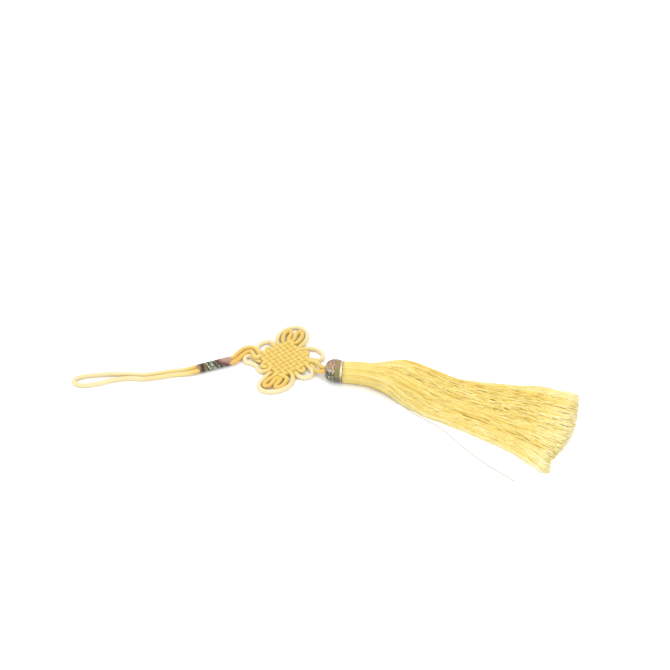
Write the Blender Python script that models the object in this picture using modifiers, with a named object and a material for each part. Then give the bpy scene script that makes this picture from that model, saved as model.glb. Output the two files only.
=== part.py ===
"""A hanging cord that lies on a table: a doubled loop, a bound neck, a woven pan chang knot and a tassel.

Metres, +Z up. +X runs from the loop's end to the tassel's end, and +Y lies across the cord.
The origin is on the table, at the middle of the whole cord's length and width.
Routes and sections are listed in millimetres, with X and Y counted from the knot's centre.
"""
import math
import random

import bmesh
import bpy
import numpy as np
from mathutils import Vector

MM = 0.001

# Driving sizes, in metres
CORD = 0.0024
KNOT_CENTRE = (-0.01999, 0.02833)
TABLE_GAP = 0.00002
MERGE = 0.00001
ROUTE_SAMPLES = 24

# The knot: eight lines of cord each way, woven over and under
LINES = 8
PITCH = 0.0026
STEPS_PER_LINE = 3
STRAND_STEP = 0.0029
KNOT_TURN = math.radians(36.0)
WEAVE_RISE = 0.00105

# The binding round the two cords behind the loop
WRAP_START = (-45.4, -7.2)
WRAP_END = (-28.1, -0.8)
WRAP_RADIUS = 0.00235
WRAP_END_RADIUS = 0.00205
WRAP_CROWN = 0.0001
WRAP_ROUNDING = 0.0006
WRAP_SIDES = 20

# The netted ball at the top of the tassel
HEAD_START = (21.2, -11.3)
HEAD_END = (29.9, -12.5)
HEAD_SIDES = 28
NET_CELLS = 7
NET_ROWS = 3
NET_RISE = 0.00022
HEAD_PROFILE = (
    {"along": 0.00, "radius": 0.0},
    {"along": 0.00, "radius": 2.3},
    {"along": 0.06, "radius": 3.5},
    {"along": 0.15, "radius": 4.4},
    {"along": 0.26, "radius": 5.0},
    {"along": 0.38, "radius": 5.4},
    {"along": 0.50, "radius": 5.55},
    {"along": 0.61, "radius": 5.6},
    {"along": 0.71, "radius": 5.5},
    {"along": 0.80, "radius": 5.4},
    {"along": 0.88, "radius": 5.25},
    {"along": 0.95, "radius": 5.0},
    {"along": 1.00, "radius": 4.6},
    {"along": 1.00, "radius": 0.0},
)

# The tassel's neck and skirt
NECK_FLAT = 0.0004
SECTION_SIDES = 26
BACKING_TAPER = 27.0
BACKING_END = 34.0
TAPER_SIZE = 0.75
ROOT_SIZE = 0.90
LOCK_STATIONS = (24.5, 28.5, 35.5, 46.5, 60.0, 80.0, 100.0)
SETTLED_STATION = 38.0
LOCK_GAP = 0.00026
LOCK_FILL = 0.84
LOCKS = 30
LOCK_REACH = 0.97
LOCK_SPACING = 2.0 * LOCK_REACH / LOCKS
LAYERS = 3
LAYER_INSET = 2
UNEVEN_ENDS = 3.0
LAYER_SETBACK = 0.8
LOCK_TIP = 0.65
STRAY_THREAD = 0.0007
STRAY_STEP = 0.006

# The loop's cord, from the binding out to its end and back: x, y, z
LOOP_ROUTE = (
    (-46.4, -6.1, 2.40), (-48.0, -6.6, 2.20), (-51.6, -7.0, 1.50), (-57.0, -7.6, 1.20), (-64.6, -9.15, 1.20),
    (-72.5, -10.45, 1.20), (-80.3, -9.95, 1.20), (-86.5, -9.75, 1.20), (-92.4, -9.95, 1.20),
    (-98.6, -10.65, 1.20), (-103.8, -11.6, 1.20), (-107.6, -13.4, 1.20), (-108.2, -15.9, 1.20),
    (-105.8, -17.9, 1.20), (-101.0, -18.1, 1.20), (-95.0, -16.6, 1.20), (-88.4, -14.3, 1.20),
    (-80.6, -12.85, 1.20), (-72.5, -13.35, 1.20), (-64.9, -12.05, 1.20), (-57.2, -10.3, 1.20),
    (-51.2, -9.75, 1.50), (-47.1, -9.25, 2.20), (-45.5, -8.7, 2.40),
)

# Cords between the binding and the knot, and between the knot and the tassel's head: x, y, z
UPPER_FEED = (
    (-28.05, 0.7, 2.45), (-26.7, 1.5, 2.40), (-24.6, 5.2, 2.20), (-21.6, 8.5, 2.10), (-17.8, 9.6, 2.10),
    (-14.9, 7.4, 2.10), (-12.6, 3.6, 2.10), (-11.2, 1.5, 2.10),
)
LOWER_FEED = (
    (-27.1, -1.9, 2.45), (-25.2, -0.6, 2.40), (-22.6, 3.0, 2.20), (-20.4, 5.6, 2.10), (-18.2, 6.2, 2.40),
    (-16.9, 3.9, 3.20), (-16.4, 1.5, 3.70), (-14.6, 0.6, 3.40), (-11.6, 2.2, 2.40),
)
UPPER_LINK = (
    (11.6, -2.0, 2.60), (13.6, -1.9, 3.10), (15.6, -2.7, 3.30), (17.2, -4.7, 3.80), (18.2, -7.1, 4.60),
    (19.2, -8.9, 5.35), (20.55, -9.95, 5.80),
)
LOWER_LINK = (
    (12.2, -1.5, 1.80), (13.6, -3.4, 1.70), (15.2, -6.0, 1.90), (16.0, -8.4, 2.80),
    (17.4, -11.0, 4.30), (19.1, -12.3, 5.40), (20.4, -12.5, 5.80),
)

# The knot's ears, in its own square frame: along a, along b, height above the middle of the knot.
# The feed cords enter at the corner -a, -b and the other two leave at +a, +b.
CORNER_EAR = (
    (3.9, -8.5, 0.0), (3.8, -12.4, 0.0), (6.4, -16.9, -0.7), (9.7, -20.0, -0.87),
    (14.4, -21.3, -0.87), (19.3, -19.3, -0.87), (21.3, -14.4, -0.87), (20.0, -9.7, -0.87),
    (16.9, -6.4, -0.7), (12.4, -3.8, 0.0), (8.5, -3.9, 0.0),
)
INNER_EAR = (
    (6.5, -8.5, 0.0), (7.2, -12.3, 0.0), (8.8, -15.3, -0.2), (10.8, -17.5, -0.3), (12.9, -18.6, -0.3),
    (14.4, -18.3, -0.3), (14.4, -16.7, -0.3), (13.1, -15.0, -0.2), (10.7, -12.6, 0.0), (9.6, -10.7, 0.0),
    (9.1, -8.5, 0.0),
)
FAR_EARS = {"reach": 0.97, "lean": 0.12}
NEAR_EARS = {"reach": 0.78, "lean": -0.34}
EAR_ROOT = 13.0
SIDE_EAR = (
    (-6.5, -8.5, 0.0), (-6.8, -11.6, 0.0), (-7.0, -14.4, -0.5), (-4.9, -17.0, -0.87),
    (-1.4, -16.6, -0.87), (0.9, -14.2, -0.5), (1.3, -11.4, 0.0), (1.3, -8.5, 0.0),
)
WIDE_SIDE_EAR = (
    (-6.5, -8.5, 0.0), (-6.6, -11.8, 0.0), (-7.1, -14.8, -0.5), (-5.4, -17.6, -0.87),
    (-1.0, -18.4, -0.87), (1.9, -16.4, -0.5), (1.6, -12.4, 0.0), (1.3, -8.5, 0.0),
)
FEED_CORNER_EAR = (
    (-8.5, -6.5, 0.0), (-11.3, -7.6, -0.45), (-12.1, -10.3, -0.75), (-12.5, -13.6, -0.87),
    (-14.4, -14.7, -0.87), (-16.4, -13.4, -0.87), (-16.7, -11.0, -0.87), (-15.0, -8.6, -0.87),
    (-14.2, -5.8, -0.87), (-15.0, -3.0, -0.87), (-14.0, -0.1, -0.75), (-11.5, 1.3, -0.1), (-8.5, 1.3, 0.0),
)
LINK_CORNER_EAR = (
    (8.5, -1.3, 0.0), (11.6, -1.3, 0.0), (15.4, -0.4, -0.6), (18.4, 2.6, -0.87), (18.9, 6.6, -0.87),
    (17.2, 9.6, -0.87), (14.4, 10.0, -0.87), (11.9, 8.2, -0.4), (8.5, 6.5, 0.0),
)
TIGHT_BIGHT = (
    (-3.9, -8.5, 0.0), (-3.95, -11.0, 0.0), (-2.6, -12.5, 0.0), (-1.25, -11.0, 0.0), (-1.3, -8.5, 0.0),
)

# The line that the tassel follows from its head, x and y, and its section along it:
# station along the line, reach to the far and near side, height, and the power of the section's outline
TASSEL_LINE = (
    (30.2, -12.7), (38.0, -13.7), (45.0, -15.5), (55.0, -20.0), (75.0, -28.6), (100.0, -39.0),
    (125.0, -49.5), (145.0, -57.9),
)
TASSEL_SECTIONS = (
    {"station": 0.0, "far": 5.1, "near": 5.1, "height": 10.8, "power": 2.0},
    {"station": 3.5, "far": 5.4, "near": 5.4, "height": 11.0, "power": 2.0},
    {"station": 14.5, "far": 5.9, "near": 5.8, "height": 11.7, "power": 2.0},
    {"station": 21.5, "far": 11.2, "near": 6.7, "height": 13.2, "power": 2.1},
    {"station": 28.5, "far": 15.7, "near": 8.3, "height": 13.8, "power": 2.2},
    {"station": 35.5, "far": 18.6, "near": 9.9, "height": 12.0, "power": 2.4},
    {"station": 46.5, "far": 20.0, "near": 12.0, "height": 8.6, "power": 2.7},
    {"station": 56.5, "far": 19.9, "near": 13.0, "height": 6.5, "power": 3.0},
    {"station": 69.5, "far": 23.0, "near": 14.8, "height": 5.4, "power": 3.2},
    {"station": 81.5, "far": 27.0, "near": 16.6, "height": 4.9, "power": 3.4},
    {"station": 97.5, "far": 31.6, "near": 20.0, "height": 4.3, "power": 3.6},
    {"station": 113.5, "far": 34.2, "near": 27.0, "height": 3.9, "power": 3.8},
    {"station": 123.5, "far": 35.4, "near": 31.0, "height": 3.7, "power": 3.8},
)
# Where the skirt's threads end, from its near edge at side -1 to its far edge at side 1
SKIRT_END = (
    {"side": -1.0, "station": 114.4},
    {"side": -0.85, "station": 118.9},
    {"side": -0.6, "station": 117.2},
    {"side": -0.3, "station": 119.9},
    {"side": 0.1, "station": 121.4},
    {"side": 0.5, "station": 119.4},
    {"side": 1.0, "station": 115.4},
)
STRAY_ROUTE = (
    (56.8, -26.5, 1.2), (60.8, -32.9, 0.5), (66.4, -38.6, 0.35), (73.0, -43.4, 0.35), (78.9, -48.1, 0.35),
    (86.0, -57.0, 0.35), (93.8, -66.8, 0.35), (101.8, -74.6, 0.35), (112.6, -83.9, 0.35),
)

CORD_YELLOW = (0.93, 0.67, 0.17)
THREAD_YELLOW = (0.94, 0.71, 0.22)
METAL_THREAD = (0.20, 0.19, 0.13)


def clear_scene():
    for old in list(bpy.data.objects):
        bpy.data.objects.remove(old, do_unlink=True)


def principled(name, colour, roughness, metallic=0.0):
    material = bpy.data.materials.new(name)
    material.use_nodes = True
    shader = material.node_tree.nodes["Principled BSDF"]
    shader.inputs["Base Color"].default_value = (*colour, 1.0)
    shader.inputs["Roughness"].default_value = roughness
    shader.inputs["Metallic"].default_value = metallic
    return material


def add_piece(name, data, material, collection, parent):
    piece = bpy.data.objects.new(name, data)
    piece.data.materials.append(material)
    piece.parent = parent
    collection.objects.link(piece)
    return piece


def hide_guide(guide):
    guide.hide_render = True
    guide.display_type = "WIRE"


def smooth_route(points, step):
    """A Catmull-Rom curve through the points, read at even steps of about the given length."""
    route = np.array(points, float)
    ends = np.vstack([2 * route[0] - route[1], route, 2 * route[-1] - route[-2]])
    before, start, end, after = ends[:-3], ends[1:-2], ends[2:-1], ends[3:]
    t = np.linspace(0.0, 1.0, ROUTE_SAMPLES, endpoint=False)[:, None, None]
    curve = 0.5 * (2 * start + (end - before) * t + (2 * before - 5 * start + 4 * end - after) * t ** 2
                   + (3 * start - before - 3 * end + after) * t ** 3)
    dense = np.vstack([curve.transpose(1, 0, 2).reshape(-1, route.shape[1]), route[-1]])
    run = np.concatenate([[0.0], np.cumsum(np.linalg.norm(np.diff(dense, axis=0), axis=1))])
    count = max(2, round(run[-1] / step) + 1)
    even = np.linspace(0.0, run[-1], count)
    return np.stack([np.interp(even, run, dense[:, k]) for k in range(route.shape[1])], axis=1)


def rested(route, diameter):
    """The route with no point so low that a cord of this diameter would sink into the table."""
    route = route.copy()
    route[:, 2] = np.maximum(route[:, 2], diameter / 2 + TABLE_GAP)
    return route


def cord_curve(name, route, diameter):
    """A round cord along the route, as a poly curve with a bevel and filled ends."""
    curve = bpy.data.curves.new(name, "CURVE")
    curve.dimensions = "3D"
    curve.bevel_depth = diameter / 2
    curve.bevel_resolution = 2
    curve.use_fill_caps = True
    spline = curve.splines.new("POLY")
    spline.points.add(len(route) - 1)
    for point, place in zip(spline.points, route):
        point.co = (*place, 1.0)
    return curve


def mesh_from_curve(curve, collection):
    """The curve as a welded mesh object, so that it can be joined with others."""
    drawn = bpy.data.objects.new(curve.name, curve)
    collection.objects.link(drawn)
    graph = bpy.context.evaluated_depsgraph_get()
    mesh = bpy.data.meshes.new_from_object(drawn.evaluated_get(graph))
    shell = bmesh.new()
    shell.from_mesh(mesh)
    bmesh.ops.remove_doubles(shell, verts=shell.verts, dist=MERGE)
    shell.to_mesh(mesh)
    shell.free()
    solid = bpy.data.objects.new(curve.name + "_solid", mesh)
    solid.matrix_world = drawn.matrix_world
    collection.objects.link(solid)
    bpy.data.objects.remove(drawn)
    hide_guide(solid)
    return solid


def weave_height(a, b):
    """Height of the weave above its middle: the higher of two round cords that wave over and under."""
    line_a = np.floor(a / PITCH)
    line_b = np.floor(b / PITCH)
    over = np.where((line_a + line_b) % 2 == 0, 1.0, -1.0)
    x = a - (line_a + 0.5) * PITCH
    y = b - (line_b + 0.5) * PITCH
    radius = CORD / 2
    along_a = over * WEAVE_RISE * np.cos(math.pi * x / PITCH) + np.sqrt(np.maximum(radius ** 2 - y ** 2, 0.0))
    along_b = -over * WEAVE_RISE * np.cos(math.pi * y / PITCH) + np.sqrt(np.maximum(radius ** 2 - x ** 2, 0.0))
    return np.maximum(np.maximum(along_a, along_b), radius / 4)


def knot_height():
    """Height of the flat top of each crossing above the middle of the knot."""
    return float(weave_height(np.array(PITCH / 3), np.array(PITCH / 3)))


def woven_body(collection, material, parent):
    """The knot's woven square: the upper half is a height field, and a mirror makes the lower one."""
    steps = LINES * STEPS_PER_LINE
    half = LINES * PITCH / 2
    shell = bmesh.new()
    bmesh.ops.create_grid(shell, x_segments=steps, y_segments=steps, size=half)
    rim = [edge for edge in shell.edges if edge.is_boundary]
    side = bmesh.ops.extrude_edge_only(shell, edges=rim)["geom"]
    middle = {corner for corner in side if isinstance(corner, bmesh.types.BMVert)}
    for corner in shell.verts:
        if corner not in middle:
            corner.co.z = float(weave_height(np.array(corner.co.x), np.array(corner.co.y)))
    knot = add_piece("pan_chang_knot", finished_mesh("pan_chang_knot", shell), material, collection, parent)
    knot.location.z = knot_height()
    knot.rotation_euler.z = KNOT_TURN
    mirror = knot.modifiers.new("lower half", "MIRROR")
    mirror.use_axis = (False, False, True)
    mirror.merge_threshold = MERGE
    return knot


def knot_point(a, b, height):
    """A point of the knot's square frame, in millimetres from the knot's centre on the table."""
    along = (math.cos(KNOT_TURN), math.sin(KNOT_TURN))
    across = (math.sin(KNOT_TURN), -math.cos(KNOT_TURN))
    x = a * along[0] + b * across[0]
    y = a * along[1] + b * across[1]
    return (x, y, height + knot_height() / MM)


def swapped(points):
    """The same strand on the other side of the line through the two corners where the cords enter and leave."""
    return [(b, a, height) for a, b, height in points]


def turned(points):
    """The same strand half a turn round the knot's centre."""
    return [(-a, -b, height) for a, b, height in points]


def across_corner(points):
    """The same strand on the other side of the line through the two corners with the large ears."""
    return [(-b, -a, height) for a, b, height in points]


def drawn_out(points, reach, lean):
    """A corner ear with its part past the weave scaled along the corner's direction and leaned across it."""
    shaped = []
    for a, b, height in points:
        out, side = (a - b) / math.sqrt(2), (a + b) / math.sqrt(2)
        past = max(0.0, out - EAR_ROOT)
        out += past * (reach - 1.0)
        side += past * lean
        shaped.append(((side + out) / math.sqrt(2), (side - out) / math.sqrt(2), height))
    return shaped


def knot_strands():
    """Every free strand of the knot as a name and a list of points in millimetres."""
    inner = across_corner(INNER_EAR)
    ears = {
        "far_corner_ear": drawn_out(CORNER_EAR, **FAR_EARS),
        "near_corner_ear": swapped(drawn_out(CORNER_EAR, **NEAR_EARS)),
        "far_inner_ear_1": drawn_out(INNER_EAR, **FAR_EARS),
        "far_inner_ear_2": drawn_out(inner, **FAR_EARS),
        "near_inner_ear_1": swapped(drawn_out(INNER_EAR, **NEAR_EARS)),
        "near_inner_ear_2": swapped(drawn_out(inner, **NEAR_EARS)),
        "side_ear_1": WIDE_SIDE_EAR,
        "side_ear_2": FEED_CORNER_EAR,
        "side_ear_3": turned(SIDE_EAR),
        "side_ear_4": LINK_CORNER_EAR,
        "bight_1": TIGHT_BIGHT,
        "bight_2": swapped(TIGHT_BIGHT),
        "bight_3": turned(TIGHT_BIGHT),
        "bight_4": turned(swapped(TIGHT_BIGHT)),
    }
    strands = {name: [knot_point(*point) for point in points] for name, points in ears.items()}
    strands["upper_feed"] = UPPER_FEED
    strands["lower_feed"] = LOWER_FEED
    strands["upper_link"] = UPPER_LINK
    strands["lower_link"] = LOWER_LINK
    return strands


def pan_chang_knot(collection, guides, material, parent):
    """The woven square with its ears, feed cords and link cords joined to it."""
    knot = woven_body(collection, material, parent)
    free = bpy.data.collections.new("knot strands")
    guides.children.link(free)
    for name, points in knot_strands().items():
        route = rested(smooth_route(np.array(points) * MM, STRAND_STEP), CORD)
        solid = mesh_from_curve(cord_curve(name, route, CORD), free)
        solid.parent = parent
    union = knot.modifiers.new("strands", "BOOLEAN")
    union.operation = "UNION"
    union.operand_type = "COLLECTION"
    union.collection = free
    union.solver = "EXACT"
    union.use_self = True
    return knot


def hanging_loop(collection, material, parent):
    route = rested(smooth_route(np.array(LOOP_ROUTE) * MM, CORD), CORD)
    return add_piece("hanging_loop", cord_curve("hanging_loop", route, CORD), material, collection, parent)


def finished_mesh(name, shell):
    bmesh.ops.recalc_face_normals(shell, faces=shell.faces)
    mesh = bpy.data.meshes.new(name)
    shell.to_mesh(mesh)
    shell.free()
    return mesh


def lay_along(piece, start, end, height):
    """Places a piece that was made along +Z so that it lies from start towards end."""
    run = Vector((end[0] - start[0], end[1] - start[1], 0.0))
    piece.location = (start[0] * MM, start[1] * MM, height)
    piece.rotation_mode = "QUATERNION"
    piece.rotation_quaternion = run.to_track_quat("Z", "Y")
    return run.length * MM


def binding_wrap(collection, material, parent):
    """Thread wound tight round two cords: a turned roll, a little fuller at its middle."""
    length = math.dist(WRAP_START, WRAP_END) * MM
    profile = (
        (0.0, length), (WRAP_END_RADIUS, length), (WRAP_RADIUS - WRAP_CROWN, length - WRAP_ROUNDING),
        (WRAP_RADIUS, length / 2), (WRAP_RADIUS - WRAP_CROWN, WRAP_ROUNDING), (WRAP_END_RADIUS, 0.0), (0.0, 0.0),
    )
    mesh = bpy.data.meshes.new("binding_wrap")
    edges = [(i, i + 1) for i in range(len(profile) - 1)]
    mesh.from_pydata([(radius, 0.0, z) for radius, z in profile], edges, [])
    wrap = add_piece("binding_wrap", mesh, material, collection, parent)
    lay_along(wrap, WRAP_START, WRAP_END, WRAP_RADIUS)
    screw = wrap.modifiers.new("wound round", "SCREW")
    screw.steps = WRAP_SIDES
    screw.render_steps = WRAP_SIDES
    screw.use_merge_vertices = True
    screw.merge_threshold = MERGE
    return wrap


def tassel_head(collection, material, parent):
    """A ball of netted thread: a sphere's rings drawn to the ball's profile, with the net's diamonds raised."""
    length = math.dist(HEAD_START, HEAD_END) * MM
    rings = len(HEAD_PROFILE) - 1
    shell = bmesh.new()
    bmesh.ops.create_uvsphere(shell, u_segments=HEAD_SIDES, v_segments=rings, radius=1.0)
    for corner in shell.verts:
        turn = math.atan2(corner.co.y, corner.co.x)
        ring = round(math.acos(max(-1.0, min(1.0, -corner.co.z))) / math.pi * rings)
        row = HEAD_PROFILE[ring]
        net = NET_RISE * math.cos(NET_CELLS * turn) * math.cos(NET_ROWS * math.tau * ring / rings)
        radius = row["radius"] * MM + net if row["radius"] else 0.0
        corner.co = (radius * math.cos(turn), radius * math.sin(turn), length * row["along"])
    head = add_piece("tassel_head", finished_mesh("tassel_head", shell), material, collection, parent)
    widest = max(row["radius"] for row in HEAD_PROFILE) * MM
    lay_along(head, HEAD_START, HEAD_END, widest + NET_RISE)
    return head


class TasselSpace:
    """Turns a station along the tassel, a side from -1 to 1 and a height into a place."""

    def __init__(self):
        self.line = smooth_route(TASSEL_LINE, 1.0)
        run = np.linalg.norm(np.diff(self.line, axis=0), axis=1)
        self.run = np.concatenate([[0.0], np.cumsum(run)])
        self.heading = np.gradient(self.line, axis=0)
        self.heading /= np.linalg.norm(self.heading, axis=1)[:, None]
        self.stations = [row["station"] for row in TASSEL_SECTIONS]

    def size(self, station, name):
        return float(np.interp(station, self.stations, [row[name] for row in TASSEL_SECTIONS]))

    def reach(self, station, side):
        return side * self.size(station, "far" if side > 0 else "near")

    def height(self, station, side):
        power = self.size(station, "power")
        full = self.size(station, "height")
        return full * (0.5 + 0.5 * (1.0 - min(1.0, abs(side)) ** power) ** (1.0 / power))

    def place(self, station, offset, height):
        x = np.interp(station, self.run, self.line[:, 0])
        y = np.interp(station, self.run, self.line[:, 1])
        heading_x = np.interp(station, self.run, self.heading[:, 0])
        heading_y = np.interp(station, self.run, self.heading[:, 1])
        return Vector((x - heading_y * offset, y + heading_x * offset, height)) * MM


def loft(shell, rings):
    """Joins closed rings of points with faces and closes both ends."""
    rows = [[shell.verts.new(point) for point in ring] for ring in rings]
    count = len(rows[0])
    for row, after in zip(rows, rows[1:]):
        for i in range(count):
            j = (i + 1) % count
            shell.faces.new((row[i], row[j], after[j], after[i]))
    shell.faces.new(list(reversed(rows[0])))
    shell.faces.new(rows[-1])


def backing_ring(space, station, size=1.0):
    """One section of the neck: a rounded outline with a flat where it lies on the table."""
    far, near = space.size(station, "far"), space.size(station, "near")
    full = space.size(station, "height")
    bend = 2.0 / space.size(station, "power")
    flat = NECK_FLAT / MM
    ring = []
    for i in range(SECTION_SIDES):
        turn = math.tau * (i + 0.5) / SECTION_SIDES
        side, up = math.cos(turn), math.sin(turn)
        offset = math.copysign(abs(side) ** bend, side) * (far if side > 0 else near)
        height = (full + flat) * (1.0 + math.copysign(abs(up) ** bend, up)) / 2 - flat
        ring.append(space.place(station, offset * size, max(0.0, height * size)))
    return ring


def lock_ring(space, station, side, width, layer, root):
    """One section of a lock: a flat base and a ridge. At its root it is drawn in below the neck's surface."""
    level = space.height(station, side) / LAYERS
    low = layer * level
    high = low + LOCK_FILL * level
    power = space.size(station, "power")
    middle = space.size(station, "height") / 2
    half = ROOT_SIZE * middle * (1.0 - abs(ROOT_SIZE * side) ** power) ** (1.0 / power)
    root_low = middle + half * (2.0 * layer / LAYERS - 1.0)
    root_high = middle + half * (2.0 * (layer + LOCK_FILL) / LAYERS - 1.0)
    low += (root_low - low) * root
    high += (root_high - high) * root
    offset = space.reach(station, side) * (1.0 - (1.0 - ROOT_SIZE) * root)
    return [
        space.place(station, offset - width / 2, low),
        space.place(station, offset + width / 2, low),
        space.place(station, offset, high),
    ]


def add_lock(shell, space, side, layer, end):
    """One lock. All locks share their stations but the last, so that they stay apart between them too."""
    rings = []
    for station in (*LOCK_STATIONS, end):
        root = max(0.0, 1.0 - (station - LOCK_STATIONS[0]) / (SETTLED_STATION - LOCK_STATIONS[0]))
        pitch = LOCK_SPACING * abs(space.reach(station, side) / side) * (1.0 - (1.0 - ROOT_SIZE) * root)
        width = pitch - LOCK_GAP / MM
        rings.append(lock_ring(space, station, side, width * (LOCK_TIP if station == end else 1.0), layer, root))
    loft(shell, rings)


def skirt_locks(space):
    """Three layers of locks, each with a ridge, and one stray thread beside them."""
    dice = random.Random(11)
    sides = [row["side"] for row in SKIRT_END]
    ends = [row["station"] for row in SKIRT_END]
    shell = bmesh.new()
    for layer in range(LAYERS):
        for i in range(LAYER_INSET * layer, LOCKS - LAYER_INSET * layer):
            side = -LOCK_REACH + LOCK_SPACING * (i + 0.5)
            end = np.interp(side, sides, ends) - dice.random() * UNEVEN_ENDS - layer * LAYER_SETBACK
            add_lock(shell, space, side, layer, float(end))
    route = rested(smooth_route(np.array(STRAY_ROUTE) * MM, STRAY_STEP), STRAY_THREAD)
    half = STRAY_THREAD / 2
    rings = []
    for place, heading in zip(route, np.gradient(route, axis=0)):
        across = np.array((-heading[1], heading[0], 0.0)) / np.hypot(heading[0], heading[1]) * half
        rings.append([place - across + (0, 0, -half), place + across + (0, 0, -half), place + (0, 0, half)])
    loft(shell, rings)
    return finished_mesh("skirt_locks", shell)


def tassel(collection, guides, material, parent):
    """The neck and the start of the skirt as one solid, with every lock's root joined into it."""
    space = TasselSpace()
    stations = [row["station"] for row in TASSEL_SECTIONS if row["station"] < BACKING_TAPER] + [BACKING_TAPER]
    rings = [backing_ring(space, station) for station in stations]
    rings.append(backing_ring(space, BACKING_END, TAPER_SIZE))
    shell = bmesh.new()
    loft(shell, rings)
    neck = add_piece("tassel", finished_mesh("tassel", shell), material, collection, parent)
    locks = bpy.data.objects.new("skirt_locks", skirt_locks(space))
    locks.parent = parent
    guides.objects.link(locks)
    hide_guide(locks)
    union = neck.modifiers.new("locks", "BOOLEAN")
    union.operation = "UNION"
    union.object = locks
    union.solver = "EXACT"
    union.use_self = True
    return neck


def build():
    clear_scene()
    parts = bpy.data.collections.new("hanging cord")
    guides = bpy.data.collections.new("cutters")
    bpy.context.scene.collection.children.link(parts)
    bpy.context.scene.collection.children.link(guides)
    centre = bpy.data.objects.new("knot_centre", None)
    centre.location = (*KNOT_CENTRE, 0.0)
    parts.objects.link(centre)
    cord = principled("satin cord", CORD_YELLOW, 0.45)
    thread = principled("rayon thread", THREAD_YELLOW, 0.4)
    metal = principled("metallic thread", METAL_THREAD, 0.35, 0.5)
    hanging_loop(parts, cord, centre)
    binding_wrap(parts, metal, centre)
    pan_chang_knot(parts, guides, cord, centre)
    tassel_head(parts, metal, centre)
    tassel(parts, guides, thread, centre)


build()
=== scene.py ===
"""The looks of a hanging cord that lies on a pale table: a doubled loop of satin cord, a binding of
metallic thread, a woven pan chang knot, a netted ball and a long rayon tassel.

Metres, +Z up. Routes are listed in millimetres, with X and Y counted from the knot's centre.
"""
import math

import bpy
import numpy as np
from mathutils import Matrix, Vector


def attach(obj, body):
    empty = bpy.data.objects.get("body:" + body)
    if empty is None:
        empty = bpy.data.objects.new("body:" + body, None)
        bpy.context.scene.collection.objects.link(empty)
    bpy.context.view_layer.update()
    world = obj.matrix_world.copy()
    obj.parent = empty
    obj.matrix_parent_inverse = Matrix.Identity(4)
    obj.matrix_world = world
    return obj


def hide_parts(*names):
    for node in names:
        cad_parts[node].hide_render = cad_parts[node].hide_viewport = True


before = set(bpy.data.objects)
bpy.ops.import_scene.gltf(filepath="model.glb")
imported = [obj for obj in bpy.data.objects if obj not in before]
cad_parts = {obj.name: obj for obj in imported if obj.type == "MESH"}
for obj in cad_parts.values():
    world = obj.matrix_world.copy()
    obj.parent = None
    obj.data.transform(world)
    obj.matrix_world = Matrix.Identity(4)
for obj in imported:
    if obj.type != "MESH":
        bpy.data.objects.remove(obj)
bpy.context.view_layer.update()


# The table and the light
# A plain white table top under a soft white studio light, with the camera above and in front of it,
# looking down at the angle of the photograph.
MM = 0.001
KNOT_CENTRE = np.array((-0.01999, 0.02833, 0.0))
CAMERA_DOWN = math.radians(42.0)
CAMERA_AWAY = 0.85
IMAGE_SIZE = 670
PIXELS_PER_METRE = 1920.0
SENSOR = 36.0
KNOT_PIXEL = (285.0, 359.0)
KNOT_MIDDLE = 0.00275


def look_at_knot():
    """The camera's matrix: its axes turned down, and its place such that the knot falls on its pixel."""
    right = np.array((1.0, 0.0, 0.0))
    ahead = np.array((0.0, math.cos(CAMERA_DOWN), -math.sin(CAMERA_DOWN)))
    up = np.array((0.0, math.sin(CAMERA_DOWN), math.cos(CAMERA_DOWN)))
    aside = (KNOT_PIXEL[0] - IMAGE_SIZE / 2) / PIXELS_PER_METRE
    above = (IMAGE_SIZE / 2 - KNOT_PIXEL[1]) / PIXELS_PER_METRE
    place = KNOT_CENTRE + (0.0, 0.0, KNOT_MIDDLE) - right * aside - up * above - ahead * CAMERA_AWAY
    matrix = Matrix.Identity(4)
    for column, axis in enumerate((right, up, -ahead, place)):
        for row in range(3):
            matrix[row][column] = axis[row]
    return matrix


camera = bpy.data.objects.new("camera", bpy.data.cameras.new("camera"))
camera.data.sensor_width = SENSOR
camera.data.lens = PIXELS_PER_METRE * CAMERA_AWAY * SENSOR / IMAGE_SIZE
camera.data.clip_start = 0.01
camera.matrix_world = look_at_knot()
bpy.context.scene.collection.objects.link(camera)
bpy.context.scene.camera = camera

LIGHTS = (
    {"name": "window", "place": (-0.25, 0.05, 0.85), "size": 0.60, "watts": 2.0},
    {"name": "fill", "place": (0.30, -0.55, 0.75), "size": 0.80, "watts": 2.4},
)
for row in LIGHTS:
    lamp = bpy.data.lights.new(row["name"], "AREA")
    lamp.size = row["size"]
    lamp.energy = row["watts"]
    light = bpy.data.objects.new(row["name"], lamp)
    light.location = row["place"]
    light.rotation_euler = (-Vector(row["place"])).to_track_quat("-Z", "Y").to_euler()
    bpy.context.scene.collection.objects.link(light)
world = bpy.data.worlds.new("studio")
world.use_nodes = True
world.node_tree.nodes["Background"].inputs["Color"].default_value = (0.97, 0.98, 1.0, 1.0)
world.node_tree.nodes["Background"].inputs["Strength"].default_value = 1.18
bpy.context.scene.world = world
bpy.context.scene.view_settings.view_transform = "Standard"

TABLE_SIZE = 3.0
table_mesh = bpy.data.meshes.new("table")
corners = TABLE_SIZE / 2 * np.array(((-1, -1, 0), (1, -1, 0), (1, 1, 0), (-1, 1, 0)))
table_mesh.from_pydata(corners.tolist(), [], [(0, 1, 2, 3)])
table = bpy.data.objects.new("table", table_mesh)
bpy.context.scene.collection.objects.link(table)


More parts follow.
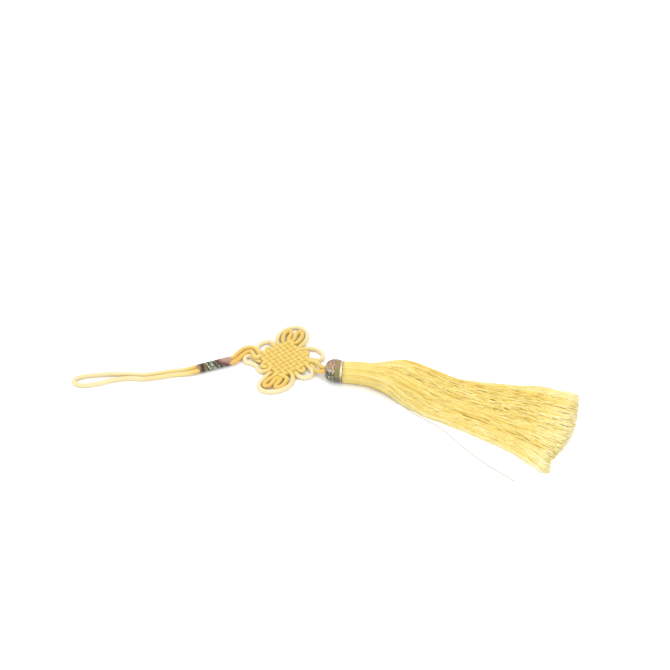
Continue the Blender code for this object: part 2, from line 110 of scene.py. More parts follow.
class Dye:
    """An output of a node in a material. Arithmetic on it adds Math nodes, and add() any other node."""

    def __init__(self, tree, socket=None):
        self.tree = tree
        self.socket = socket

    def add(self, kind, settings=None, inputs=None, output=0):
        """A node of this kind: its settings first, then its sockets' values or links. Gives one output."""
        node = self.tree.nodes.new("ShaderNode" + kind)
        for name, value in (settings or {}).items():
            if name == "stops":
                stops = node.color_ramp.elements
                stops.remove(stops[1])
                stops[0].position = value[0][0]
                stops[0].color = (*value[0][1], 1.0)
                for place, colour in value[1:]:
                    stops.new(place).color = (*colour, 1.0)
            else:
                setattr(node, name, value)
        for name, value in (inputs or {}).items():
            if isinstance(value, Dye):
                self.tree.links.new(value.socket, node.inputs[name])
            else:
                node.inputs[name].default_value = value
        return Dye(self.tree, node.outputs[output] if node.outputs else None)

    def maths(self, operation, *values):
        """A Math node's operation on these values or outputs."""
        return self.add("Math", {"operation": operation}, dict(enumerate(values)))

    def __add__(self, other):
        return self.maths("ADD", self, other)

    def __sub__(self, other):
        return self.maths("SUBTRACT", self, other)

    def __rsub__(self, other):
        return self.maths("SUBTRACT", other, self)

    def __mul__(self, other):
        return self.maths("MULTIPLY", self, other)

    __radd__ = __add__
    __rmul__ = __mul__

    def mixed(self, first, second):
        """The first colour where this is 0 and the second where it is 1."""
        return self.add("Mix", {"data_type": "RGBA"}, {0: self, 6: first, 7: second}, output=2)

    def surface(self, inputs):
        """A Principled shader with these sockets, joined to the material's output."""
        shader = self.add("BsdfPrincipled", {}, inputs)
        self.add("OutputMaterial", {}, {"Surface": shader})


def new_material(name):
    """An empty material and the start of its nodes."""
    material = bpy.data.materials.new(name)
    material.use_nodes = True
    material.node_tree.nodes.clear()
    return material, Dye(material.node_tree)


table_top, nodes = new_material("white table top")
grain = nodes.add("TexNoise", {}, {"Vector": nodes.add("TexCoord", {}, {}, output=3), "Scale": 9.0})
white = grain.mixed((0.955, 0.955, 0.97, 1), (0.97, 0.97, 0.98, 1))
nodes.surface({"Base Color": white, "Roughness": 0.6})
table.data.materials.append(table_top)


# The hanging loop
# One braided satin cord, 2.4 mm thick, doubled and pulled into a long narrow bight. It lies loose on
# the table, and both its legs go into the binding, which holds them.
CORD = 0.0024
CORD_STEP = 0.0003
CORD_SIDES = 24
ROUTE_SAMPLES = 24
CARRIERS = 8
LAY_LENGTH = 0.0017
BRAID_RELIEF = 0.035
# The darker colours given to the braid's grooves are painted shade; the crowns keep the cord's lighter
# colour.
CORD_GROOVE_SHADE = (
    (0.00, (0.52, 0.265, 0.05)), (0.35, (0.52, 0.325, 0.06)), (0.70, (0.585, 0.42, 0.155)),
    (1.00, (0.63, 0.485, 0.25)),
)
CORD_CROWNS = (
    (0.00, (0.75, 0.45, 0.09)), (0.35, (0.75, 0.56, 0.115)), (0.70, (0.77, 0.625, 0.27)),
    (1.00, (0.81, 0.70, 0.45)),
)
# Painted shade: the cord is deepest orange where it goes into the binding and lightens over the first 8 mm
# out of it.
BINDING_TONE = 0.15
SHADED_END = {"length": 0.008, "rise": 0.5}
PALE_END = {"length": 0.05, "rise": 0.25}
LOOP_ROUTE = (
    (-45.2, -5.95, 2.40), (-46.4, -6.1, 2.40), (-48.0, -6.6, 2.20), (-51.6, -7.0, 1.50), (-57.0, -7.6, 1.20),
    (-64.6, -9.15, 1.20), (-72.5, -10.45, 1.20), (-80.3, -9.95, 1.20), (-86.5, -9.75, 1.20),
    (-92.4, -9.95, 1.20), (-98.6, -10.65, 1.20), (-103.8, -11.6, 1.20), (-107.6, -13.4, 1.20),
    (-108.2, -15.9, 1.20), (-105.8, -17.9, 1.20), (-101.0, -18.1, 1.20), (-95.0, -16.6, 1.20),
    (-88.4, -14.3, 1.20), (-80.6, -12.85, 1.20), (-72.5, -13.35, 1.20), (-64.9, -12.05, 1.20),
    (-57.2, -10.3, 1.20), (-51.2, -9.75, 1.50), (-47.1, -9.25, 2.20), (-45.5, -8.7, 2.40),
    (-44.3, -8.1, 2.40),
)


def smooth_route(points, step):
    """A Catmull-Rom curve through the points, read at even steps of about the given length."""
    route = np.array(points, float)
    ends = np.vstack([2 * route[0] - route[1], route, 2 * route[-1] - route[-2]])
    before, start, end, after = ends[:-3], ends[1:-2], ends[2:-1], ends[3:]
    t = np.linspace(0.0, 1.0, ROUTE_SAMPLES, endpoint=False)[:, None, None]
    curve = 0.5 * (2 * start + (end - before) * t + (2 * before - 5 * start + 4 * end - after) * t ** 2
                   + (3 * start - before - 3 * end + after) * t ** 3)
    dense = np.vstack([curve.transpose(1, 0, 2).reshape(-1, route.shape[1]), route[-1]])
    run = np.concatenate([[0.0], np.cumsum(np.linalg.norm(np.diff(dense, axis=0), axis=1))])
    even = np.linspace(0.0, run[-1], max(2, round(run[-1] / step) + 1))
    return np.stack([np.interp(even, run, dense[:, k]) for k in range(route.shape[1])], axis=1)


def unit(vectors):
    """The vectors divided by their lengths."""
    return vectors / np.linalg.norm(vectors, axis=-1, keepdims=True)


def run_along(paths):
    """The length from each path's start to each of its points, summed step by step."""
    steps = np.linalg.norm(np.diff(paths, axis=1), axis=2)
    return np.concatenate([np.zeros((len(paths), 1)), np.cumsum(steps, axis=1)], axis=1)


def swept_rings(paths, normals, across, through, sides):
    """Rings carried along paths: centre + across * cos(turn) * side + through * sin(turn) * normal."""
    heading = unit(np.gradient(paths, axis=1))
    side = unit(np.cross(normals, heading))
    normal = np.cross(heading, side)
    turn = 2 * np.pi * (np.arange(sides) + 0.5) / sides
    out = np.cos(turn)[:, None] * side[:, :, None] * np.asarray(across)[..., None, None]
    up = np.sin(turn)[:, None] * normal[:, :, None] * np.asarray(through)[..., None, None]
    return paths[:, :, None] + out + up


def braided(rings, paths):
    """The rings with a braid's ridges: two sets of strands wind opposite ways and take turns on top."""
    sides = rings.shape[2]
    turn = (np.arange(sides) + 0.5) / sides * CARRIERS
    lay = run_along(paths)[:, :, None] / LAY_LENGTH
    left, right = turn + lay, turn - lay
    on_top = (np.floor(left) + np.floor(right)) % 2
    ridge = np.abs(np.sin(np.pi * np.where(on_top > 0.5, left, right)))
    return paths[:, :, None] + (rings - paths[:, :, None]) * (1.0 + BRAID_RELIEF * (ridge - 1.0))[..., None]


def skinned(name, rings, paths, material, tones=None):
    """A mesh from the rings: four-sided walls and flat ends. Its UV holds the turn and the metres along."""
    many, count, sides = rings.shape[:3]
    place = np.arange(many * count * sides).reshape(many, count, sides)
    after = np.roll(place, -1, axis=2)
    walls = np.stack([place[:, :-1], after[:, :-1], after[:, 1:], place[:, 1:]], axis=-1).reshape(-1, 4)
    ends = np.concatenate([place[:, 0, ::-1], place[:, -1]])
    corners = np.concatenate([walls.ravel(), ends.ravel()])
    starts = np.concatenate([np.arange(len(walls)) * 4, walls.size + np.arange(len(ends)) * sides])
    length = np.broadcast_to(run_along(paths)[:, :, None], place.shape).ravel()
    turn = np.broadcast_to(np.arange(sides) / sides, place.shape).ravel()
    turns = turn[corners]
    turns[:walls.size].reshape(-1, 4)[:, 1:3] = (turn[walls[:, 0]] + 1.0 / sides)[:, None]
    mesh = bpy.data.meshes.new(name)
    mesh.vertices.add(place.size)
    mesh.loops.add(len(corners))
    mesh.polygons.add(len(starts))
    mesh.vertices.foreach_set("co", rings.astype(np.float32).ravel())
    mesh.loops.foreach_set("vertex_index", corners.astype(np.int32))
    mesh.polygons.foreach_set("loop_start", starts.astype(np.int32))
    mesh.update(calc_edges=True)
    uv = np.stack([turns, length[corners]], axis=1)
    mesh.uv_layers.new(name="UVMap").data.foreach_set("uv", uv.astype(np.float32).ravel())
    if tones is not None:
        tone = np.broadcast_to(tones[..., None], place.shape).astype(np.float32)
        mesh.attributes.new("tone", "FLOAT", "POINT").data.foreach_set("value", tone.ravel())
    mesh.materials.append(material)
    mesh.shade_smooth()
    piece = bpy.data.objects.new(name, mesh)
    bpy.context.scene.collection.objects.link(piece)
    return piece


def satin_cord():
    """Satin braid: glossy strands with painted shade darkening the grooves between them. The tone runs from
    orange to cream; its low values are painted shade.
    """
    material, nodes = new_material("yellow satin cord")
    uv = nodes.add("UVMap", {"uv_map": "UVMap"})
    turn = nodes.add("SeparateXYZ", {}, {0: uv}) * CARRIERS
    lay = nodes.add("SeparateXYZ", {}, {0: uv}, 1) * (1.0 / LAY_LENGTH)
    left, right = turn + lay, turn - lay
    cells = nodes.maths("FLOOR", left) + nodes.maths("FLOOR", right)
    on_top = nodes.maths("PINGPONG", cells, 1.0)
    phase = right + (left - right) * on_top
    ridge = nodes.maths("ABSOLUTE", nodes.maths("SINE", phase * math.pi))
    drift = nodes.add("TexNoise", {}, {"Vector": nodes.add("TexCoord", {}, {}, 3), "Scale": 130.0})
    tone = nodes.add("Attribute", {"attribute_name": "tone"}, {}, 2) + (drift - 0.5) * 0.3
    groove_shade = nodes.add("ValToRGB", {"stops": CORD_GROOVE_SHADE}, {"Fac": tone})
    crown = nodes.add("ValToRGB", {"stops": CORD_CROWNS}, {"Fac": tone})
    bump = nodes.add("Bump", {}, {"Height": ridge, "Distance": 0.00008, "Strength": 0.5})
    nodes.surface({"Base Color": ridge.mixed(groove_shade, crown), "Roughness": 0.42, "Normal": bump,
                   "Sheen Weight": 0.2, "Sheen Roughness": 0.4, "Specular IOR Level": 0.45})
    return material


UP = np.array((0.0, 0.0, 1.0))
loop_path = smooth_route(np.array(LOOP_ROUTE) * MM, CORD_STEP)[None] + KNOT_CENTRE
rings = swept_rings(loop_path, UP, CORD / 2, CORD / 2, CORD_SIDES)
run = run_along(loop_path)
from_binding = np.minimum(run, run[0, -1] - run)
tone = BINDING_TONE
for end in (SHADED_END, PALE_END):
    tone = tone + end["rise"] * np.clip(from_binding / end["length"], 0.0, 1.0)
cord_satin = satin_cord()
loop = skinned("hanging_loop_cord", braided(rings, loop_path), loop_path, cord_satin, tone)
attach(loop, "root")
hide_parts("hanging_loop")


# The binding
# Metallic thread wound tight round the two cords, turn against turn, and dyed in spaces along its
# length: a brown end, dark olive flecked with gold and silver, then a maroon band.
WRAP_START = (-45.4, -7.2)
WRAP_END = (-28.1, -0.8)
WRAP_RADIUS = 0.00235
WRAP_ROUNDING = 0.0009
WRAP_TUCK = 0.00035
WRAP_THREAD = 0.00042
WRAP_PITCH = 0.00034
WRAP_POINTS = 30
WRAP_SIDES = 6
WRAP_COLOURS = (
    (0.00, (0.48, 0.28, 0.17)), (0.08, (0.24, 0.13, 0.08)), (0.12, (0.05, 0.037, 0.02)),
    (0.17, (0.035, 0.03, 0.016)), (0.23, (0.20, 0.155, 0.05)), (0.30, (0.04, 0.037, 0.022)),
    (0.38, (0.065, 0.068, 0.044)), (0.43, (0.27, 0.30, 0.21)), (0.50, (0.05, 0.052, 0.034)),
    (0.66, (0.07, 0.073, 0.05)), (0.76, (0.06, 0.048, 0.036)), (0.80, (0.11, 0.036, 0.038)),
    (0.90, (0.20, 0.088, 0.08)), (1.00, (0.47, 0.30, 0.22)),
)
WRAP_SLANT = {"most": 0.24, "from": 0.35, "rise": 0.2, "fade": 0.25}
WRAP_FLECKS = {
    "repeat": 0.0047, "beat": 0.12, "scale": 1100.0, "from": 0.535, "middle": 0.5, "reach": 0.22,
    "colour": (0.50, 0.52, 0.38),
}


def laid_between(start, end, height):
    """The start point of a piece that lies between two points, with its own axis, side and up vectors."""
    first = np.array((*start, 0.0)) * MM + KNOT_CENTRE + (0.0, 0.0, height)
    axis = unit(np.array((end[0] - start[0], end[1] - start[1], 0.0)))
    return first, axis, np.cross(UP, axis)


def wound(first, axis, side, along, turn, radius):
    """A thread wound round an axis: first + along * axis + radius * (cos(turn) * side + sin(turn) * up)."""
    out = np.cos(turn)[..., None] * side + np.sin(turn)[..., None] * UP
    return first + along[..., None] * axis + radius[..., None] * out, out


def metallic_thread(name, stops, flecks=None):
    """Metallic film thread: colours by the tone, space-dyed and on the ball also bands of painted highlight,
    and bright flecks that repeat along it.
    """
    material, nodes = new_material(name)
    tone = nodes.add("Attribute", {"attribute_name": "tone"}, {}, 2)
    film = nodes.add("ValToRGB", {"stops": stops}, {"Fac": tone})
    if flecks:
        along = nodes.add("SeparateXYZ", {}, {0: nodes.add("UVMap", {"uv_map": "UVMap"})}, 1)
        beat = nodes.maths("SINE", along * (2 * math.pi / flecks["repeat"]))
        place = nodes.add("TexCoord", {}, {}, 3)
        spot = nodes.add("TexNoise", {}, {"Vector": place, "Scale": flecks["scale"]})
        glint = beat * flecks["beat"] + spot
        bright = nodes.add("MapRange", {}, {0: glint, 1: flecks["from"], 2: flecks["from"] + 0.12})
        share = nodes.add("MapRange", {}, {0: nodes.maths("ABSOLUTE", tone - flecks["middle"]),
                                           1: flecks["reach"], 2: flecks["reach"] + 0.06, 3: 1.0, 4: 0.12})
        film = (bright * share).mixed(film, (*flecks["colour"], 1))
    nodes.surface({"Base Color": film, "Roughness": 0.48, "Metallic": 0.25, "Specular IOR Level": 0.4})
    return material


first, axis, side = laid_between(WRAP_START, WRAP_END, WRAP_RADIUS)
wrap_length = math.dist(WRAP_START, WRAP_END) * MM
turns = wrap_length / WRAP_PITCH
share = np.linspace(0.0, 1.0, round(turns * WRAP_POINTS))[None]
along = share * wrap_length
from_end = np.minimum(along, wrap_length - along)
rounding = 1.0 - np.clip(from_end / WRAP_ROUNDING, 0.0, 1.0)
radius = WRAP_RADIUS - WRAP_THREAD / 2 - WRAP_TUCK * rounding ** 2
thread, out = wound(first, axis, side, along, 2 * np.pi * turns * share, radius)
rings = swept_rings(thread, out, WRAP_THREAD / 2, WRAP_THREAD / 2, WRAP_SIDES)
slant = WRAP_SLANT["most"] * np.clip((share - WRAP_SLANT["from"]) / WRAP_SLANT["rise"], 0.0, 1.0)
slant = slant * np.clip((1.0 - share) / WRAP_SLANT["fade"], 0.0, 1.0) * np.sin(2 * np.pi * turns * share)
wrap_film = metallic_thread("binding thread", WRAP_COLOURS, WRAP_FLECKS)
binding = skinned("binding_thread", rings, thread, wrap_film, np.clip(share + slant, 0.0, 1.0))
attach(binding, "root")
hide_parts("binding_wrap")


# The pan chang knot
# The same cord, woven over and under in eight lines each way and pulled tight into a lozenge. Its ears
# are the cord's turns past the weave. Two feed cords come from the binding, and two go to the tassel.
LINES = 8
PITCH = 2.6
WEAVE_RISE = 1.05
WEAVE_MIDDLE = 2.13
WEAVE_REACH = (10.6, 12.2)
WEAVE_FLATTEN = 0.12
KNOT_TURN = math.radians(36.0)
UPPER_FEED = (
    (-31.0, 0.0, 2.35), (-29.4, 0.35, 2.42), (-28.05, 0.7, 2.45), (-26.7, 1.5, 2.40), (-24.6, 5.2, 2.20),
    (-21.6, 8.5, 2.10), (-17.8, 9.6, 2.10), (-14.9, 7.4, 2.10),
)
LOWER_FEED = (
    (-30.6, -2.5, 2.35), (-29.0, -2.3, 2.42), (-27.1, -1.9, 2.45), (-25.2, -0.6, 2.40), (-22.6, 3.0, 2.20),
    (-20.4, 5.6, 2.10), (-18.2, 6.2, 2.40), (-16.9, 3.9, 3.20), (-16.4, 1.5, 3.70), (-14.6, 0.6, 3.40),
)
UPPER_LINK = (
    (14.2, -2.0, 3.20), (15.6, -2.7, 3.40), (17.2, -4.7, 3.80), (18.2, -7.1, 4.60), (19.3, -9.2, 5.40),
    (20.9, -10.3, 5.80), (22.4, -10.6, 5.80),
)
LOWER_LINK = (
    (13.6, -3.4, 1.70), (15.2, -6.0, 1.90), (16.0, -8.4, 2.80), (17.4, -11.0, 4.30), (19.1, -12.4, 5.40),
    (20.6, -12.7, 5.80), (22.2, -12.6, 5.80),
)
CORNER_EAR = (
    (3.8, -12.4, 0.0), (6.4, -16.9, -0.7), (9.7, -20.0, -0.87), (14.4, -21.3, -0.87), (19.3, -19.3, -0.87),
    (21.3, -14.4, -0.87), (20.0, -9.7, -0.87), (16.9, -6.4, -0.7), (12.4, -3.8, 0.0),
)
INNER_EAR = (
    (7.2, -12.3, 0.0), (8.8, -15.3, -0.2), (10.8, -17.5, -0.3), (12.9, -18.6, -0.3), (14.4, -18.3, -0.3),
    (14.4, -16.7, -0.3), (13.1, -15.0, -0.2), (10.7, -12.6, 0.0), (9.6, -10.7, 0.0),
)
FAR_EARS = {"reach": 0.97, "lean": 0.12}
NEAR_EARS = {"reach": 0.78, "lean": -0.34}
EAR_ROOT = 13.0
SIDE_EAR = (
    (-6.8, -11.6, 0.0), (-7.0, -14.4, -0.5), (-4.9, -17.0, -0.87), (-1.4, -16.6, -0.87), (0.9, -14.2, -0.5),
    (1.3, -11.4, 0.0),
)
WIDE_SIDE_EAR = (
    (-6.6, -11.8, 0.0), (-7.1, -14.8, -0.5), (-5.4, -17.6, -0.87), (-1.0, -18.4, -0.87), (1.9, -16.4, -0.5),
    (1.6, -12.4, 0.0),
)
FEED_CORNER_EAR = (
    (-11.3, -7.6, -0.45), (-12.1, -10.3, -0.75), (-12.5, -13.6, -0.87), (-14.4, -14.7, -0.87),
    (-16.4, -13.4, -0.87), (-16.7, -11.0, -0.87), (-15.0, -8.6, -0.87), (-14.2, -5.8, -0.87),
    (-15.0, -3.0, -0.87), (-14.0, -0.1, -0.75), (-11.5, 1.3, -0.1),
)
LINK_CORNER_EAR = (
    (11.6, -1.3, 0.0), (15.4, -0.4, -0.6), (18.4, 2.6, -0.87), (18.9, 6.6, -0.87), (17.2, 9.6, -0.87),
    (14.4, 10.0, -0.87), (11.9, 8.2, -0.4),
)
TIGHT_BIGHT = ((-3.95, -11.0, 0.0), (-2.6, -12.5, 0.0), (-1.25, -11.0, 0.0))


def swapped(points):
    """The same strand on the other side of the line through the corners where the cords enter and leave."""
    return [(b, a, height) for a, b, height in points]


def turned(points):
    """The same strand half a turn round the knot's centre."""
    return [(-a, -b, height) for a, b, height in points]


def across_corner(points):
    """The same strand on the other side of the line through the corners with the large ears."""
    return [(-b, -a, height) for a, b, height in points]


def drawn_out(points, reach, lean):
    """An ear with its part past the weave scaled along the corner's direction and leaned across it."""
    a, b, height = np.array(points).T
    out, across = (a - b) / math.sqrt(2), (a + b) / math.sqrt(2)
    past = np.maximum(0.0, out - EAR_ROOT)
    out, across = out + past * (reach - 1.0), across + past * lean
    return np.stack([(across + out) / math.sqrt(2), (across - out) / math.sqrt(2), height], axis=1)


def knot_points(points):
    """Points of the knot's square frame as points on the table: turned, and flipped across its length."""
    a, b, height = np.array(points, float).T
    x = a * math.cos(KNOT_TURN) + b * math.sin(KNOT_TURN)
    y = a * math.sin(KNOT_TURN) - b * math.cos(KNOT_TURN)
    return np.stack([x, y, height + WEAVE_MIDDLE], axis=1)


def toned(points, *tones):
    """The points with a tone each, spread evenly from the first tone to the last."""
    spread = np.interp(np.linspace(0, 1, len(points)), np.linspace(0, 1, len(tones)), tones)
    return np.column_stack([points, spread])


def woven_line(number, down, backwards):
    """One line of the weave: a point at each crossing, over and under in turn. Down lines go along b."""
    cross = (np.arange(LINES) - (LINES - 1) / 2) * PITCH
    fixed = np.full(LINES, cross[number - 1])
    parity = (np.arange(LINES) + number - 1) % 2
    rise = np.where(parity == 0, 1.0, -1.0) * WEAVE_RISE * (-1.0 if down else 1.0)
    line = np.stack([fixed, cross, rise] if down else [cross, fixed, rise], axis=1)
    return line[::-1] if backwards else line


inner = across_corner(INNER_EAR)
# Tones along the strands. The inner ears' deeper orange is painted shade and the outer ears' cream is painted
# sheen.
WOVEN = (0.38, 0.38)
INNER_EAR_SHADE = (0.3, 0.2, 0.2, 0.3)
OUTER_EAR_SHEEN = (0.5, 0.85, 0.95, 0.95, 0.85, 0.5)
# The feeds are darkest at the binding and the links at the ball: painted shade where the cords go in.
FEED_SHADE_TONES = (0.08, 0.08, 0.1, 0.15, 0.3, 0.42)
LINK_SHADE_TONES = (0.45, 0.5, 0.15, 0.1)
STRANDS = {
    "upper": (
        UPPER_FEED,
        (woven_line(1, True, False), WOVEN), (swapped(drawn_out(inner, **NEAR_EARS)), INNER_EAR_SHADE),
        (woven_line(2, True, True), WOVEN), (WIDE_SIDE_EAR, OUTER_EAR_SHEEN),
        (woven_line(5, True, False), WOVEN), (turned(TIGHT_BIGHT)[::-1], WOVEN),
        (woven_line(6, True, True), WOVEN), (drawn_out(CORNER_EAR, **FAR_EARS), OUTER_EAR_SHEEN),
        (woven_line(3, False, True), WOVEN), (swapped(TIGHT_BIGHT), WOVEN),
        (woven_line(4, False, False), WOVEN), (LINK_CORNER_EAR, OUTER_EAR_SHEEN),
        (woven_line(7, False, True), WOVEN), (swapped(drawn_out(INNER_EAR, **NEAR_EARS)), INNER_EAR_SHADE),
        (woven_line(8, False, False), WOVEN),
        UPPER_LINK,
    ),
    "lower": (
        LOWER_FEED,
        (woven_line(1, False, False), WOVEN), (drawn_out(inner, **FAR_EARS), INNER_EAR_SHADE),
        (woven_line(2, False, True), WOVEN), (FEED_CORNER_EAR, OUTER_EAR_SHEEN),
        (woven_line(5, False, False), WOVEN), (turned(swapped(TIGHT_BIGHT))[::-1], WOVEN),
        (woven_line(6, False, True), WOVEN), (swapped(drawn_out(CORNER_EAR, **NEAR_EARS)), OUTER_EAR_SHEEN),
        (woven_line(3, True, True), WOVEN), (TIGHT_BIGHT, WOVEN),
        (woven_line(4, True, False), WOVEN), (turned(SIDE_EAR)[::-1], OUTER_EAR_SHEEN),
        (woven_line(7, True, True), WOVEN), (drawn_out(INNER_EAR, **FAR_EARS), INNER_EAR_SHADE),
        (woven_line(8, True, False), WOVEN),
        LOWER_LINK,
    ),
}
for name, (feed, *parts, link) in STRANDS.items():
    knot_parts = [toned(knot_points(points), *tones) for points, tones in parts]
    route = np.vstack([toned(feed, *FEED_SHADE_TONES), *knot_parts, toned(link, *LINK_SHADE_TONES)])
    path = smooth_route(route * MM, CORD_STEP)[None]
    path, tone = path[..., :3], path[..., 3] / MM
    a = path[..., 0] * math.cos(KNOT_TURN) + path[..., 1] * math.sin(KNOT_TURN)
    b = path[..., 0] * math.sin(KNOT_TURN) - path[..., 1] * math.cos(KNOT_TURN)
    reach = np.maximum(np.abs(a), np.abs(b)) / MM
    loosened = np.clip((reach - WEAVE_REACH[0]) / (WEAVE_REACH[1] - WEAVE_REACH[0]), 0, 1)
    flat = WEAVE_FLATTEN * (1.0 - loosened)
    path[..., 2] = np.maximum(path[..., 2], CORD / 2 * (1.0 - flat))
    path = path + KNOT_CENTRE
    rings = swept_rings(path, UP, CORD / 2 * (1.0 + flat / 4), CORD / 2 * (1.0 - flat), CORD_SIDES)
    strand = skinned("knot_cord_" + name, braided(rings, path), path, cord_satin, tone)
    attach(strand, "root")
    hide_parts("pan_chang_knot")


# The tassel's ball
# A round bead covered with metallic thread: a close winding underneath, and a net of looped thread
# over it, drawn tight at both ends. The dye runs from brown at the top to dark green underneath. A pale
# line round the ball and the cream band on its rim threads are painted highlight.
HEAD_START = (21.2, -11.3)
HEAD_END = (29.9, -12.5)
HEAD_PROFILE = (
    (0.0, 2.3), (0.06, 3.5), (0.15, 4.4), (0.26, 5.0), (0.38, 5.4), (0.50, 5.55), (0.61, 5.6), (0.71, 5.5),
    (0.80, 5.4), (0.88, 5.25), (0.95, 5.0), (1.0, 4.6),
)
HEAD_HEIGHT = 0.00585
GROUND_THREAD = 0.00046
GROUND_PITCH = 0.00036
GROUND_DEPTH = 0.00012
GROUND_POINTS = 60
GROUND_SIDES = 5
NET_THREAD = 0.00050
NET_STRANDS = 9
NET_TURNS = 0.62
NET_REACH = (0.02, 0.64)
NET_LIFT = 0.00003
NET_WEAVE = 0.00011
NET_POINTS = 60
NET_SIDES = 7
BAND_POINTS = 91
BAND_SIDES = 8
COLLAR_TURNS = ((0.63, 5.68), (0.69, 5.62), (0.75, 5.54), (0.81, 5.46), (0.87, 5.36))
RIM_TURNS = ((0.92, 5.28), (0.96, 5.25), (1.0, 5.20))
RIM_THREAD = 0.00032
NET_COLOURS = (
    (0.00, (0.12, 0.13, 0.10)), (0.30, (0.13, 0.15, 0.11)), (0.62, (0.06, 0.07, 0.05)),
    (0.73, (0.10, 0.10, 0.07)), (0.77, (0.34, 0.28, 0.19)), (0.82, (0.32, 0.19, 0.12)),
    (0.93, (0.31, 0.19, 0.13)), (1.00, (0.25, 0.17, 0.12)),
)
NET_FLECKS = {
    "repeat": 0.0047, "beat": 0.35, "scale": 500.0, "from": 0.64, "middle": 0.5, "reach": 0.5,
    "colour": (0.50, 0.42, 0.30),
}
# The pale stop at 0.765 of the height is a painted highlight: a bright line round the ball where a net thread
# catches the light.
GROUND_COLOURS_AND_HIGHLIGHT = (
    (0.00, (0.35, 0.37, 0.30)), (0.30, (0.40, 0.42, 0.33)), (0.60, (0.22, 0.24, 0.17)),
    (0.72, (0.30, 0.30, 0.20)), (0.765, (0.85, 0.82, 0.62)), (0.80, (0.62, 0.42, 0.28)),
    (0.92, (0.68, 0.44, 0.31)), (1.00, (0.60, 0.42, 0.32)),
)
GROUND_FLECKS = {
    "repeat": 0.0061, "beat": 0.35, "scale": 700.0, "from": 0.78, "middle": 0.5, "reach": 0.5,
    "colour": (0.70, 0.62, 0.45),
}
COLLAR_COLOURS = (
    (0.00, (0.20, 0.16, 0.12)), (0.45, (0.22, 0.17, 0.12)), (0.60, (0.28, 0.25, 0.09)),
    (0.85, (0.30, 0.26, 0.10)), (1.00, (0.42, 0.28, 0.17)),
)
# The rim's cream at 0.66 to 0.86 of the height is painted highlight where the light falls on the rim; above
# and below that, its colours are darker.
RIM_COLOURS_AND_HIGHLIGHT = (
    (0.00, (0.30, 0.26, 0.18)), (0.50, (0.42, 0.36, 0.22)), (0.66, (0.84, 0.77, 0.52)),
    (0.86, (0.88, 0.82, 0.60)), (1.00, (0.55, 0.42, 0.28)),
)


def head_radius(share):
    """The ball's radius at each share of its length, between the rows of its profile."""
    rows = np.array(HEAD_PROFILE)
    return np.interp(share, rows[:, 0], rows[:, 1]) * MM


def ball_thread(share, turn, lift):
    """A thread on the ball at each share of its length: its path, outward normals and height share."""
    thread, out = wound(*ball_line, share * head_length, turn, head_radius(share) + lift)
    slope = np.gradient(head_radius(share), axis=1) / np.gradient(share * head_length, axis=1)
    return thread, unit(out - slope[..., None] * ball_line[1]), thread[..., 2] / (2 * HEAD_HEIGHT)


ball_line = laid_between(HEAD_START, HEAD_END, HEAD_HEIGHT)
head_length = math.dist(HEAD_START, HEAD_END) * MM
ground_film = metallic_thread("ball thread", GROUND_COLOURS_AND_HIGHLIGHT, GROUND_FLECKS)
turns = head_length / GROUND_PITCH
share = np.linspace(0.0, 1.0, round(turns * GROUND_POINTS))[None]
thread, out, tone = ball_thread(share, 2 * np.pi * turns * share, -GROUND_THREAD / 2 - GROUND_DEPTH)
rings = swept_rings(thread, out, GROUND_THREAD / 2, GROUND_THREAD / 2, GROUND_SIDES)
ground = skinned("ball_winding", rings, thread, ground_film, tone)

which = np.arange(NET_STRANDS)[:, None]
net_share = np.tile(np.linspace(*NET_REACH, NET_POINTS), (NET_STRANDS, 1))
paths, outs, tones = [], [], []
for way in (1.0, -1.0):
    turn = 2 * np.pi * (which / NET_STRANDS + way * NET_TURNS * net_share)
    weave = np.cos(2 * np.pi * NET_STRANDS * NET_TURNS * net_share + (0.0 if way > 0 else np.pi))
    thread, out, tone = ball_thread(net_share, turn, NET_LIFT + NET_WEAVE * weave)
    paths.append(thread)
    outs.append(out)
    tones.append(tone)
paths, outs, tones = np.concatenate(paths), np.concatenate(outs), np.concatenate(tones)
net_film = metallic_thread("net thread", NET_COLOURS, NET_FLECKS)
rings = swept_rings(paths, outs, NET_THREAD / 2, NET_THREAD / 2, NET_SIDES)
net = skinned("ball_net", rings, paths, net_film, tones)

turn = np.linspace(0.0, 2 * np.pi, BAND_POINTS)[None]
bands = []
for name, rows, thickness, stops in (("ball_collar", COLLAR_TURNS, NET_THREAD, COLLAR_COLOURS),
                                     ("ball_rim", RIM_TURNS, RIM_THREAD, RIM_COLOURS_AND_HIGHLIGHT)):
    share, radius = (np.array(rows)[:, k, None] + 0.0 * turn for k in (0, 1))
    thread, out = wound(*ball_line, share * head_length, turn + 0.0 * share, radius * MM)
    rings = swept_rings(thread, out, thickness / 2, thickness / 2, BAND_SIDES)
    film = metallic_thread(name, stops)
    bands.append(skinned(name, rings, thread, film, thread[..., 2] / (2 * HEAD_HEIGHT)))
for piece in (ground, net, *bands):
    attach(piece, "root")
    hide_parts("tassel_head")


